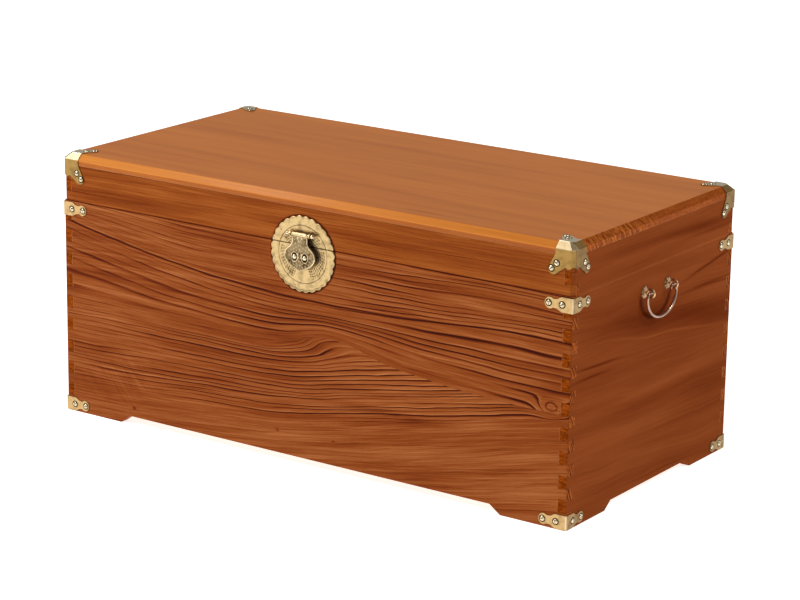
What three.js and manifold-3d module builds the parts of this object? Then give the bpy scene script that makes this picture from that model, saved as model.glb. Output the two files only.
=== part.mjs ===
// A camphor-wood chest: dovetailed boards, a hinged lid, brass corner fittings,
// a round lock plate with a hasp, and a bail handle on each end.
// Millimetres. +X is to the right, the front faces -Y, +Z is up, the floor is Z = 0.

import * as THREE from 'three';
import { mergeVertices } from 'three/addons/utils/BufferGeometryUtils.js';
import Module from 'manifold-3d';

const wasm = await Module();
wasm.setup();

// Driving dimensions of the chest.
const length = 1000; // along X
const depth = 500; // along Y
const height = 450; // along Z, to the wood of the lid
const lidHeight = 80;
const seamGap = 0.6;
const boardThickness = 16;
const panelThickness = 18; // top panel of the lid
const bottomThickness = 12;
const bottomUnderside = 19; // height of the bottom panel above the floor
const grooveDepth = 6; // the bottom panel sits this deep in the boards
const fit = 0.3; // gap between touching pieces

// Feet, cut from the lower edges of the boards.
const frontFoot = { length: 119, slope: 20, arch: 14.3 };
const sideFoot = { length: 115, slope: 18, arch: 13 };

// Dovetails: the long boards have the tails, the end boards have the pins.
const pin = { first: 28, pitch: 38.6, height: 20, taper: 1.6, topMargin: 8 };
const lidPin = { above: 17.5, height: 20, taper: 1.6 };

// Edges.
const bodyCornerRadius = 3;
const lidCorner = 5.5; // flat on each upright corner of the lid
const lidEdge = 9; // chamfer round the top panel

// Brass sheet fittings.
const brass = 1.2;
const screwHole = 1.9;
const holeDepth = 5; // how far a cutter for a screw hole reaches either side of the wood's face
const strap = {
  arm: 50, endRadius: 9, waist: 7, waistAt: 31, shoulder: 11.7, shoulderAt: 20,
  screws: [17.7, 41.5], // from the corner
  belowSeam: 14, aboveFloor: 12.7, // middle lines of the upper and the lower straps
};
// Points of the guard are [distance from the corner, distance below the top].
const guard = {
  edge: 33.5, waist: [34, 18], tip: [37, 41.3], tipRadius: 8.5,
  skirt: [[0, 33.5], [3, 34.5], [8.5, 38.4], [12.5, 38], [16, 36], [20, 39.3], [26, 43.3]],
  screws: [[29.5, 31.5], [38.5, 40.5]],
  topWaist: [33, 17], topTip: 36.5, topRadius: 8, topScrews: [27.5, 37],
};

// Lock.
const lock = {
  radius: 61, scallops: 28, scallopDepth: 1.8, belowSeam: 14.5, slit: 0.3,
  pinAboveSeam: 19, pinStandoff: 7.5, pinRadius: 1.6, pinReach: 24, knobRadius: 3.4,
  eyeAt: 18.6, eyeWidth: 3, eyeRadius: 3.6, shankRadius: 1.5,
  postAt: 10, postBelowSeam: 18, postRadius: 2.9, postClearance: 0.4,
};
const hasp = {
  thickness: 1.8, knuckle: 3.4, knuckleHalf: 16, neck: 15.5, neckDrop: 9, waist: 14.5,
  wide: 30.5, wideDrop: 36, flank: 23.5, flankDrop: 49, tipDrop: 60.5, holeWidth: 5.2, holeHeight: 7.2,
};

// Bail handles on the end boards.
const bail = {
  belowSeam: 39, standoff: 12, eyeAt: 36, wire: 1.9, armOut: 9, shoulder: 10, drop: 44,
  hook: 8, hookTip: 7, ringRadius: 6.2, ringWire: 1.6, shankRadius: 1.7,
  rosetteRadius: 8.3, petals: 8, petalDepth: 2.2, rosetteThickness: 1.6,
};

// Hinges at the back.
const hinge = {
  at: 300, width: 60, leaf: 32, knuckle: 4, bore: 2.35, pin: 2, gap: 0.4,
  holes: [-22, 0, 22], holeDrop: 20,
};
const clinch = { width: 5, reach: 14, thickness: 1.6 }; // bent-over ends of the posts, inside

// Derived places.
const halfLength = length / 2;
const halfDepth = depth / 2;
const seamHeight = height - lidHeight;
const bodyTop = seamHeight - seamGap / 2;
const lidBottom = seamHeight + seamGap / 2;
const railTop = height - panelThickness - fit;
const innerLength = halfLength - boardThickness;
const innerDepth = halfDepth - boardThickness;
const brassOut = fit + brass; // outer face of a brass sheet, from the wood
const pinHeight = seamHeight + lock.pinAboveSeam;
const postHeight = seamHeight - lock.postBelowSeam;
const plateCentre = seamHeight - lock.belowSeam;
const bailHeight = seamHeight - bail.belowSeam;
const far = 2 * (length + depth + height); // longer than any piece

const chest = new THREE.Group();

// --- Helpers ---------------------------------------------------------------

const axes = {
  // local x, local y and local z (the extrusion) of an outline drawn on each face
  front: [new THREE.Vector3(1, 0, 0), new THREE.Vector3(0, 0, 1), new THREE.Vector3(0, -1, 0)],
  side: [new THREE.Vector3(0, 1, 0), new THREE.Vector3(0, 0, 1), new THREE.Vector3(1, 0, 0)],
  top: [new THREE.Vector3(1, 0, 0), new THREE.Vector3(0, 1, 0), new THREE.Vector3(0, 0, 1)],
};

function outline(points) {
  return new THREE.Shape(points.map(([x, y]) => new THREE.Vector2(x, y)));
}

function rectangle(x0, y0, x1, y1) {
  return outline([[x0, y0], [x1, y0], [x1, y1], [x0, y1]]);
}

// Points of an arc, angles in degrees.
function arc([x, y], radius, from, to, steps) {
  return Array.from({ length: steps + 1 }, (_, i) => {
    const angle = THREE.MathUtils.degToRad(from + ((to - from) * i) / steps);
    return [x + radius * Math.cos(angle), y + radius * Math.sin(angle)];
  });
}

// A round outline whose edge is made of small arcs.
function scalloped([x, y], radius, count, rise) {
  const perLobe = 4;
  return outline(Array.from({ length: count * perLobe }, (_, i) => {
    const reach = radius + rise * Math.sin((Math.PI * (i % perLobe)) / perLobe);
    const angle = (2 * Math.PI * i) / (count * perLobe);
    return [x + reach * Math.cos(angle), y + reach * Math.sin(angle)];
  }));
}

// An outline on a face, made solid between two places along the face's normal axis.
function prism(shape, face, low, high, curveSegments = 8) {
  const geometry = new THREE.ExtrudeGeometry(shape, {
    depth: high - low, bevelEnabled: false, curveSegments,
  });
  geometry.applyMatrix4(new THREE.Matrix4().makeBasis(...axes[face]));
  const start = face === 'front' ? high : low;
  return geometry.translate(...{ front: [0, start, 0], side: [start, 0, 0], top: [0, 0, start] }[face]);
}

// A rod or tube along X, Y or Z between two places, at a centre given by the other two.
function rod(direction, radius, low, high, centre, sides = 16) {
  const geometry = new THREE.CylinderGeometry(radius, radius, high - low, sides);
  const middle = (low + high) / 2;
  if (direction === 'x') return geometry.rotateZ(Math.PI / 2).translate(middle, ...centre);
  if (direction === 'y') return geometry.translate(centre[0], middle, centre[1]);
  return geometry.rotateX(Math.PI / 2).translate(...centre, middle);
}

// Rings of equal point count, joined in order and closed at both ends.
function rings(list) {
  const count = list[0].length;
  const index = [];
  for (let ring = 0; ring + 1 < list.length; ring += 1) {
    for (let i = 0; i < count; i += 1) {
      const a = ring * count + i;
      const b = ring * count + ((i + 1) % count);
      index.push(a, b, b + count, a, b + count, a + count);
    }
  }
  const last = (list.length - 1) * count;
  for (let i = 1; i + 1 < count; i += 1) {
    index.push(0, i + 1, i, last, last + i, last + i + 1);
  }
  const geometry = new THREE.BufferGeometry();
  geometry.setAttribute('position', new THREE.Float32BufferAttribute(list.flat(2), 3));
  geometry.setIndex(index);
  return geometry;
}

function solid(geometry) {
  const bare = geometry.clone();
  bare.deleteAttribute('normal');
  bare.deleteAttribute('uv');
  const merged = mergeVertices(bare, 1e-4);
  return new wasm.Manifold(new wasm.Mesh({
    numProp: 3,
    vertProperties: new Float32Array(merged.attributes.position.array),
    triVerts: new Uint32Array(merged.index.array),
  }));
}

function joined(geometries) {
  return geometries.map(solid).reduce((whole, piece) => whole.add(piece));
}

function geometryOf(manifold) {
  const mesh = manifold.getMesh();
  const geometry = new THREE.BufferGeometry();
  geometry.setAttribute('position', new THREE.BufferAttribute(mesh.vertProperties, 3));
  geometry.setIndex(new THREE.BufferAttribute(mesh.triVerts, 1));
  geometry.computeVertexNormals();
  return geometry;
}

// A copy with x and y multiplied by 1 or -1, its faces still pointing out.
function reflected(geometry, signX, signY) {
  const copy = geometry.clone().scale(signX, signY, 1);
  if (signX * signY < 0) {
    const index = copy.index.array;
    for (let i = 0; i < index.length; i += 3) [index[i], index[i + 1]] = [index[i + 1], index[i]];
  }
  copy.computeVertexNormals();
  return copy;
}

const looks = {
  wood: { color: 0x9c5120, roughness: 0.42, metalness: 0 },
  lidWood: { color: 0xa85c2a, roughness: 0.38, metalness: 0 },
  insideWood: { color: 0xc08a5a, roughness: 0.6, metalness: 0 },
  brass: { color: 0xc9a85f, roughness: 0.32, metalness: 1 },
  steel: { color: 0xb3a892, roughness: 0.28, metalness: 1 },
};

function add(name, shape, look) {
  const geometry = shape.isBufferGeometry ? shape : geometryOf(shape);
  const mesh = new THREE.Mesh(geometry, new THREE.MeshStandardMaterial(looks[look]));
  mesh.name = name;
  chest.add(mesh);
}

// --- Boards of the body ----------------------------------------------------

// Plan outline of the chest, moved out by `out`; each corner is cut by `corner` in `steps` flats.
function plan(out, corner, steps) {
  const x = halfLength + out;
  const y = halfDepth + out;
  const turns = [[1, -1, 270], [1, 1, 0], [-1, 1, 90], [-1, -1, 180]];
  return turns.flatMap(([signX, signY, start]) => arc(
    [signX * (x - corner), signY * (y - corner)], corner, start, start + 90, steps,
  ));
}

const bodyEnvelope = solid(prism(outline(plan(0, bodyCornerRadius, 3)), 'top', -1, bodyTop + 1));

const pinCount = Math.floor((bodyTop - pin.topMargin - pin.first - pin.height) / pin.pitch) + 1;
const bodyPins = Array.from({ length: pinCount }, (_, i) => pin.first + i * pin.pitch + pin.height / 2);
const lidPins = [lidBottom + lidPin.above + lidPin.height / 2];

// A pin's end, wide inside and narrower at the outer face, for the end at x > 0 or x < 0.
function pinEnd(sign, centre, size, grow) {
  const inner = size.height / 2 + size.taper / 2 + grow;
  const outer = size.height / 2 - size.taper / 2 + grow;
  const root = innerLength - grow;
  const end = halfLength + (grow > 0 ? 1 : 0);
  return outline([
    [sign * root, centre - inner], [sign * end, centre - outer],
    [sign * end, centre + outer], [sign * root, centre + inner],
  ]);
}

// Straight underside with a foot at each end.
function footedOutline(half, foot, top) {
  return outline([
    [-half, 0], [-half + foot.length, 0], [-half + foot.length + foot.slope, foot.arch],
    [half - foot.length - foot.slope, foot.arch], [half - foot.length, 0], [half, 0],
    [half, top], [-half, top],
  ]);
}

// A long board: an outline on the front face with a socket for every pin.
function tailBoard(shape, pins, size, sign, envelope, cuts) {
  const outer = sign * halfDepth;
  const inner = sign * innerDepth;
  const low = Math.min(outer, inner);
  const high = Math.max(outer, inner);
  let board = solid(prism(shape, 'front', low, high));
  for (const centre of pins) {
    for (const end of [-1, 1]) {
      board = board.subtract(solid(prism(pinEnd(end, centre, size, fit), 'front', low - 1, high + 1)));
    }
  }
  for (const cut of cuts) board = board.subtract(solid(cut));
  return board.intersect(envelope);
}

// An end board: a slab between the long boards with a pin at each height, front and back.
function pinBoard(shape, pins, size, sign, envelope, cuts) {
  const low = sign > 0 ? innerLength : -halfLength;
  const high = sign > 0 ? halfLength : -innerLength;
  const shoulder = innerDepth - fit;
  let board = solid(prism(shape, 'side', low, high));
  const pinStart = shoulder - 1;
  const pieces = pins.flatMap((centre) => [
    prism(pinEnd(sign, centre, size, 0), 'front', -halfDepth, -pinStart),
    prism(pinEnd(sign, centre, size, 0), 'front', pinStart, halfDepth),
  ]);
  for (const piece of pieces) board = board.add(solid(piece));
  for (const cut of cuts) board = board.subtract(solid(cut));
  return board.intersect(envelope);
}

// Holes for the shanks of posts and eyes, drilled through a board.
function drill(direction, radius, places, low, high) {
  return places.map((place) => rod(direction, radius + fit, low, high, place, 12));
}

const grooveFloor = bottomUnderside - fit;
const grooveCeiling = bottomUnderside + bottomThickness + fit;

function longGroove(sign) {
  const y0 = sign * (innerDepth - 1);
  const y1 = sign * (innerDepth + grooveDepth);
  const section = rectangle(-innerLength, grooveFloor, innerLength, grooveCeiling);
  return prism(section, 'front', Math.min(y0, y1), Math.max(y0, y1));
}

function endGroove(sign) {
  const x0 = sign * (innerLength - 1);
  const x1 = sign * (innerLength + grooveDepth);
  const section = rectangle(-innerDepth + 1, grooveFloor, innerDepth - 1, grooveCeiling);
  return prism(section, 'side', Math.min(x0, x1), Math.max(x0, x1));
}

const postPlaces = [-1, 1].map((side) => [side * lock.postAt, postHeight]);
const eyePlaces = [-1, 1].map((side) => [side * lock.eyeAt, pinHeight]);
const bailPlaces = [-1, 1].map((side) => [side * bail.eyeAt, bailHeight]);

const longOutline = footedOutline(halfLength, frontFoot, bodyTop);
const endOutline = footedOutline(innerDepth - fit, {
  ...sideFoot, length: sideFoot.length - boardThickness - fit,
}, bodyTop);

add('front_board', tailBoard(longOutline, bodyPins, pin, -1, bodyEnvelope, [
  longGroove(-1), ...drill('y', lock.shankRadius, postPlaces, -halfDepth - 1, -innerDepth + 1),
]), 'wood');
add('back_board', tailBoard(longOutline, bodyPins, pin, 1, bodyEnvelope, [longGroove(1)]), 'wood');
for (const [name, sign] of [['left_board', -1], ['right_board', 1]]) {
  const edges = [sign * (innerLength - 1), sign * (halfLength + 1)].sort((a, b) => a - b);
  add(name, pinBoard(endOutline, bodyPins, pin, sign, bodyEnvelope, [
    endGroove(sign), ...drill('x', bail.shankRadius, bailPlaces, ...edges),
  ]), 'wood');
}

// The bottom panel has its corners cut away, so each groove stops inside the joint.
const tongue = grooveDepth - fit;
const panelX = innerLength - fit;
const panelY = innerDepth - 1 - fit;
add('bottom_panel', prism(outline([
  [-panelX, -innerDepth - tongue], [panelX, -innerDepth - tongue], [panelX, -panelY],
  [innerLength + tongue, -panelY], [innerLength + tongue, panelY], [panelX, panelY],
  [panelX, innerDepth + tongue], [-panelX, innerDepth + tongue], [-panelX, panelY],
  [-innerLength - tongue, panelY], [-innerLength - tongue, -panelY], [-panelX, -panelY],
]), 'top', bottomUnderside, bottomUnderside + bottomThickness), 'insideWood');

// --- Lid -------------------------------------------------------------------

// The lid's outer shape moved out by `out`, with the chamfer round its top edge.
function lidBlock(bottom, out) {
  const turn = (Math.SQRT2 - 1) * out;
  const levels = [[bottom, out], [height - lidEdge + turn, out], [height + out, turn - lidEdge]];
  return rings(levels.map(([z, move]) => plan(move, lidCorner, 1).map(([x, y]) => [x, y, z])));
}

const lidEnvelope = solid(prism(outline(plan(0, lidCorner, 1)), 'top', lidBottom - 1, railTop + 1));
const railOutline = rectangle(-halfLength, lidBottom, halfLength, railTop);
const endRailOutline = rectangle(-innerDepth + fit, lidBottom, innerDepth - fit, railTop);

add('lid_front_rail', tailBoard(railOutline, lidPins, lidPin, -1, lidEnvelope,
  drill('y', lock.shankRadius, eyePlaces, -halfDepth - 1, -innerDepth + 1)), 'wood');
add('lid_back_rail', tailBoard(railOutline, lidPins, lidPin, 1, lidEnvelope, []), 'wood');
add('lid_left_rail', pinBoard(endRailOutline, lidPins, lidPin, -1, lidEnvelope, []), 'wood');
add('lid_right_rail', pinBoard(endRailOutline, lidPins, lidPin, 1, lidEnvelope, []), 'wood');
add('lid_top_panel', lidBlock(railTop + fit, 0), 'lidWood');

// --- Brass corner fittings -------------------------------------------------

// One arm of a strap, drawn from the corner (x = 0) along a face, round a middle line.
function strapArm(middle) {
  const half = [
    [0, strap.shoulder], [strap.shoulderAt, strap.shoulder], [strap.shoulderAt + 4, strap.shoulder - 1.8],
    [strap.waistAt - 3, strap.waist + 0.4], [strap.waistAt, strap.waist],
    ...arc([strap.arm - strap.endRadius, 0], strap.endRadius, 130, 0, 6),
  ];
  const mirror = half.slice(0, -1).reverse().map(([a, b]) => [a, -b]);
  return [...half, ...mirror].map(([a, b]) => [a, middle + b]);
}

// Lays an arm drawn from the corner onto the front face and onto the end face of the x > 0, y < 0
// corner, as far as `reach` past the corner, with its screw holes.
function armPrisms(points, screws, reach) {
  const onFront = outline(points.map(([a, b]) => [halfLength + brassOut - a, b]));
  const onSide = outline(points.map(([a, b]) => [a - halfDepth - brassOut, b]));
  return {
    front: prism(onFront, 'front', -halfDepth - 2 * brassOut, -halfDepth + reach),
    side: prism(onSide, 'side', halfLength - reach, halfLength + 2 * brassOut),
    holes: screws.flatMap(([a, z]) => [
      rod('y', screwHole, -halfDepth - holeDepth, -halfDepth + holeDepth, [halfLength - a, z], 10),
      rod('x', screwHole, halfLength - holeDepth, halfLength + holeDepth, [a - halfDepth, z], 10),
    ]),
  };
}

function strapAt(middle) {
  const shell = solid(prism(outline(plan(brassOut, bodyCornerRadius, 3)), 'top', 0.2, bodyTop))
    .subtract(solid(prism(outline(plan(fit, bodyCornerRadius, 3)), 'top', -far, far)));
  const arms = armPrisms(strapArm(middle), strap.screws.map((a) => [a, middle]), bodyCornerRadius);
  let piece = shell.intersect(joined([arms.front, arms.side]));
  for (const hole of arms.holes) piece = piece.subtract(solid(hole));
  return geometryOf(piece);
}

// The guard's outline on an upright face: a straight edge, an arm at 45 degrees and a cusped skirt.
function guardArm() {
  const down = ([a, b]) => [a, height - b];
  return [
    [0, far], ...guard.skirt.map(down), ...arc(down(guard.tip), guard.tipRadius, -120, 15, 7),
    down(guard.waist), [guard.edge, height - lidEdge], [guard.edge, far],
  ];
}

// The guard's outline on the top face, the same on both sides of the diagonal.
function guardTop() {
  const [a, b] = guard.topWaist;
  const tip = arc([guard.topTip, guard.topTip], guard.topRadius, -30, 120, 8);
  const points = [
    [0, 0], [guard.edge, 0], [guard.edge, lidEdge + 3], [a, b], ...tip, [b, a], [lidEdge + 3, guard.edge],
    [0, guard.edge],
  ];
  return outline(points.map(([x, y]) => [halfLength + brassOut - x, y - halfDepth - brassOut]));
}

function guardGeometry() {
  const shell = solid(lidBlock(lidBottom, brassOut)).subtract(solid(lidBlock(lidBottom - far, fit)));
  const reach = 0.7 * lidEdge; // the three outlines overlap on the chamfer
  const arms = armPrisms(guardArm(), guard.screws.map(([a, b]) => [a, height - b]), reach);
  const onTop = prism(guardTop(), 'top', height - reach, height + 2 * brassOut);
  const region = joined([arms.front, arms.side, onTop]);
  let piece = shell.intersect(region);
  const topHoles = guard.topScrews.map((a) => rod(
    'z', screwHole, height - holeDepth, height + holeDepth, [halfLength - a, a - halfDepth], 10,
  ));
  for (const hole of [...arms.holes, ...topHoles]) piece = piece.subtract(solid(hole));
  return geometryOf(piece);
}

const corners = [
  ['front_right', 1, 1], ['front_left', -1, 1], ['back_right', 1, -1], ['back_left', -1, -1],
];
const upperStrap = strapAt(bodyTop - strap.belowSeam);
const lowerStrap = strapAt(strap.aboveFloor);
const lidGuard = guardGeometry();
for (const [place, signX, signY] of corners) {
  add(`lid_guard_${place}`, reflected(lidGuard, signX, signY), 'brass');
  add(`upper_strap_${place}`, reflected(upperStrap, signX, signY), 'brass');
  add(`lower_strap_${place}`, reflected(lowerStrap, signX, signY), 'brass');
}

// --- Lock ------------------------------------------------------------------

const plateBack = -halfDepth - fit;
const plateFront = plateBack - brass;
const pinY = plateFront - lock.pinStandoff;

// Round plate with a scalloped rim, cut along the seam.
function lockPlate(low, high, holes) {
  const disc = scalloped([0, plateCentre], lock.radius, lock.scallops, lock.scallopDepth);
  let plate = solid(prism(disc, 'front', plateFront, plateBack))
    .intersect(solid(prism(rectangle(-far, low, far, high), 'front', plateFront - 1, plateBack + 1)));
  for (const hole of holes) plate = plate.subtract(solid(hole));
  return plate;
}

add('lock_plate_upper', lockPlate(seamHeight + lock.slit, far,
  drill('y', lock.shankRadius, eyePlaces, plateFront - 1, plateBack + 1)), 'brass');
add('lock_plate_lower', lockPlate(-far, seamHeight - lock.slit,
  drill('y', lock.shankRadius, postPlaces, plateFront - 1, plateBack + 1)), 'brass');

// Post ends are bent over flat inside the chest.
const clinchY = -innerDepth + fit;

function clinchAcross(x, z) {
  return prism(
    rectangle(x - clinch.width / 2, z - clinch.reach / 2, x + clinch.width / 2, z + clinch.reach / 2),
    'front', clinchY, clinchY + clinch.thickness,
  );
}

const haspBack = pinY + hasp.thickness / 2;
const postEnd = haspBack + lock.postClearance;
for (const [name, side] of [['lock_post_left', -1], ['lock_post_right', 1]]) {
  const place = [side * lock.postAt, postHeight];
  add(name, joined([
    rod('y', lock.shankRadius, plateFront - 1, clinchY + clinch.thickness / 2, place, 12),
    rod('y', lock.postRadius, postEnd, plateFront - fit, place),
    clinchAcross(...place),
  ]), 'brass');
}

for (const [name, side] of [['hasp_eye_left', -1], ['hasp_eye_right', 1]]) {
  const x = side * lock.eyeAt;
  const ring = joined([
    rod('x', lock.eyeRadius, x - lock.eyeWidth / 2, x + lock.eyeWidth / 2, [pinY, pinHeight]),
    rod('y', lock.shankRadius, pinY, clinchY + clinch.thickness / 2, [x, pinHeight], 12),
    clinchAcross(x, pinHeight),
  ]);
  const bore = rod('x', lock.pinRadius + fit, x - lock.eyeWidth, x + lock.eyeWidth, [pinY, pinHeight]);
  add(name, ring.subtract(solid(bore)), 'brass');
}

const knobs = [-1, 1].map((side) => new THREE.SphereGeometry(lock.knobRadius, 14, 9)
  .translate(side * lock.pinReach, pinY, pinHeight));
add('hasp_pin', joined([
  rod('x', lock.pinRadius, -lock.pinReach, lock.pinReach, [pinY, pinHeight], 12), ...knobs,
]), 'brass');

// The hasp: a vase-shaped plate with two oval holes, rolled round the pin at its top.
function haspOutline() {
  const shape = new THREE.Shape();
  const z = (drop) => pinHeight - drop;
  shape.moveTo(-hasp.neck, z(0));
  shape.lineTo(-hasp.neck, z(hasp.neckDrop));
  shape.bezierCurveTo(-hasp.waist, z(hasp.neckDrop + 12), -hasp.wide, z(hasp.wideDrop - 15),
    -hasp.wide, z(hasp.wideDrop));
  shape.quadraticCurveTo(-hasp.wide, z(hasp.wideDrop + 6), -hasp.flank, z(hasp.flankDrop));
  shape.quadraticCurveTo(-10, z(hasp.tipDrop - 3), 0, z(hasp.tipDrop));
  shape.quadraticCurveTo(10, z(hasp.tipDrop - 3), hasp.flank, z(hasp.flankDrop));
  shape.quadraticCurveTo(hasp.wide, z(hasp.wideDrop + 6), hasp.wide, z(hasp.wideDrop));
  shape.bezierCurveTo(hasp.wide, z(hasp.wideDrop - 15), hasp.waist, z(hasp.neckDrop + 12),
    hasp.neck, z(hasp.neckDrop));
  shape.lineTo(hasp.neck, z(0));
  for (const side of [-1, 1]) {
    const hole = new THREE.Path();
    hole.absellipse(side * lock.postAt, postHeight, hasp.holeWidth, hasp.holeHeight, 0, 2 * Math.PI);
    shape.holes.push(hole);
  }
  return shape;
}

const haspBore = rod('x', lock.pinRadius + fit, -far, far, [pinY, pinHeight]);
add('hasp', joined([
  prism(haspOutline(), 'front', pinY - hasp.thickness / 2, pinY + hasp.thickness / 2, 7),
  rod('x', hasp.knuckle, -hasp.knuckleHalf, hasp.knuckleHalf, [pinY, pinHeight]),
]).subtract(solid(haspBore)), 'brass');

// --- Bail handles ----------------------------------------------------------

const bailX = halfLength + bail.standoff;

// Wire from hook tip to hook tip: through both eyes along Y and hanging in a bow between them.
function bailWire(sign) {
  const tip = bail.eyeAt - bail.hook;
  const arm = bail.eyeAt + bail.armOut;
  const half = [
    [tip, -bail.hookTip], [tip + 0.6, -3], [tip + 3, -0.6], [bail.eyeAt - 1, 0], [bail.eyeAt + 2, 0],
    [arm - 3.5, -0.8], [arm - 0.6, -4.5],
    ...arc([0, 0], 1, 0, -75, 5)
      .map(([y, z]) => [arm * y, (bail.drop - bail.shoulder) * z - bail.shoulder]),
  ];
  const points = [...half.map(([y, z]) => [-y, z]), [0, -bail.drop], ...half.slice().reverse()]
    .map(([y, z]) => new THREE.Vector3(sign * bailX, y, bailHeight + z));
  const path = new THREE.CatmullRomCurve3(points, false, 'centripetal');
  const section = new THREE.Shape();
  section.absarc(0, 0, bail.wire, 0, 2 * Math.PI);
  return new THREE.ExtrudeGeometry(section, { steps: 52, extrudePath: path, curveSegments: 4 });
}

function rosette(sign, y) {
  const shape = scalloped([y, bailHeight], bail.rosetteRadius, bail.petals, bail.petalDepth);
  const hole = new THREE.Path();
  hole.absarc(y, bailHeight, bail.shankRadius + fit, 0, 2 * Math.PI, true);
  shape.holes.push(hole);
  const faces = [sign * (halfLength + fit), sign * (halfLength + fit + bail.rosetteThickness)];
  return prism(shape, 'side', Math.min(...faces), Math.max(...faces), 6);
}

// A ring that stands off the board, on a shank that goes through it and is bent over inside.
function bailEye(sign, y) {
  const inside = sign * (innerLength - fit);
  const end = inside - sign * clinch.thickness;
  const root = sign * (bailX - bail.ringRadius);
  const ring = new THREE.TorusGeometry(bail.ringRadius, bail.ringWire, 8, 18)
    .rotateX(Math.PI / 2).translate(sign * bailX, y, bailHeight);
  const bar = rectangle(
    y - clinch.reach / 2, bailHeight - clinch.width / 2,
    y + clinch.reach / 2, bailHeight + clinch.width / 2,
  );
  return joined([
    ring,
    rod('x', bail.shankRadius, Math.min(end, root), Math.max(end, root), [y, bailHeight], 12),
    prism(bar, 'side', Math.min(inside, end), Math.max(inside, end)),
  ]);
}

for (const [side, sign] of [['left', -1], ['right', 1]]) {
  for (const [place, y] of [['front', -bail.eyeAt], ['back', bail.eyeAt]]) {
    add(`${side}_rosette_${place}`, rosette(sign, y), 'brass');
    add(`${side}_bail_eye_${place}`, bailEye(sign, y), 'brass');
  }
  add(`${side}_bail`, bailWire(sign), 'steel');
}

// --- Back hinges -----------------------------------------------------------

const hingeBack = halfDepth + fit;
const hingeY = hingeBack + hinge.knuckle;

// A leaf on the back face with knuckles round the pin; `up` is 1 on the lid and -1 on the body.
function hingeLeaf(centre, up, knuckles, gaps) {
  const half = hinge.width / 2;
  const place = (y) => [centre + y[0], centre + y[1]];
  const plateEnds = [seamHeight, seamHeight + up * hinge.leaf].sort((a, b) => a - b);
  const sheet = rectangle(centre - half, plateEnds[0], centre + half, plateEnds[1]);
  let leaf = solid(prism(sheet, 'front', hingeBack, hingeBack + brass));
  for (const span of knuckles.map(place)) {
    leaf = leaf.add(solid(rod('x', hinge.knuckle, ...span, [hingeY, seamHeight])));
  }
  for (const span of gaps.map(place)) {
    const room = hinge.knuckle + hinge.gap;
    const notch = rectangle(span[0], seamHeight - room, span[1], seamHeight + room);
    leaf = leaf.subtract(solid(prism(notch, 'front', hingeBack - 1, hingeY + room)));
  }
  const holes = hinge.holes.map((x) => rod(
    'y', screwHole, hingeBack - 1, hingeBack + brass + 1,
    [centre + x, seamHeight + up * hinge.holeDrop], 10,
  ));
  for (const hole of holes) leaf = leaf.subtract(solid(hole));
  const bore = rod('x', hinge.bore, centre - half - 1, centre + half + 1, [hingeY, seamHeight]);
  return leaf.subtract(solid(bore));
}

const third = hinge.width / 6;
const outerSpans = [[-hinge.width / 2, -third], [third, hinge.width / 2]];
const middleSpan = [[-third + hinge.gap, third - hinge.gap]];
const outerGaps = [[-hinge.width / 2 - 1, -third + hinge.gap], [third - hinge.gap, hinge.width / 2 + 1]];
for (const [side, sign] of [['left', -1], ['right', 1]]) {
  const centre = sign * hinge.at;
  add(`hinge_${side}_body_leaf`, hingeLeaf(centre, -1, outerSpans, [[-third, third]]), 'brass');
  add(`hinge_${side}_lid_leaf`, hingeLeaf(centre, 1, middleSpan, outerGaps), 'brass');
  const half = hinge.width / 2;
  add(`hinge_${side}_pin`, rod(
    'x', hinge.pin, centre - half - 1.5, centre + half + 1.5, [hingeY, seamHeight], 14,
  ), 'brass');
}

// The origin is under the middle of the whole object, on the floor.
const middle = new THREE.Box3().setFromObject(chest).getCenter(new THREE.Vector3());
chest.position.set(-middle.x, -middle.y, 0);

export default chest;
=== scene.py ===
import math
import random

import bmesh
import bpy
from mathutils import Matrix, Vector, noise
from mathutils.geometry import delaunay_2d_cdt


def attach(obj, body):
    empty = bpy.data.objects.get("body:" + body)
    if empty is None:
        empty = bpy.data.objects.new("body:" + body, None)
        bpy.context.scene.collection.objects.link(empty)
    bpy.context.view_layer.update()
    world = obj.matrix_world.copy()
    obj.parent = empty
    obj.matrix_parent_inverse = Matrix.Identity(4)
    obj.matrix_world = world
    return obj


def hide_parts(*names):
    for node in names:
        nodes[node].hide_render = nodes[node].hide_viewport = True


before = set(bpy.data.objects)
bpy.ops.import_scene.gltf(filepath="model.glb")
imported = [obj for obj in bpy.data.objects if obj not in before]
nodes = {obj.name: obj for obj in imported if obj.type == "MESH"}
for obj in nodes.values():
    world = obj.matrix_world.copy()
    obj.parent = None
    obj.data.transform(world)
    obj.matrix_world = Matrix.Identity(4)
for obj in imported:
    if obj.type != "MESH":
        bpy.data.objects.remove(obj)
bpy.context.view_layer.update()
print("frame loaded:", len(nodes), "pieces")

# Sizes of the chest in millimetres, x to the right, the front at -y.
chest = {
    "halfLength": 500, "halfDepth": 250, "height": 450, "seam": 370,
    "board": 16, "panelUnder": 432, "panelEnd": 491.6, "lockCentre": 355.5, "sheet": 1.2, "gap": 0.3,
    "shift": 2.15,  # the frame's middle is this far in front of the boards' middle
}
innerX, innerY = chest["halfLength"] - chest["board"], chest["halfDepth"] - chest["board"]
random.seed(7)


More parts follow.
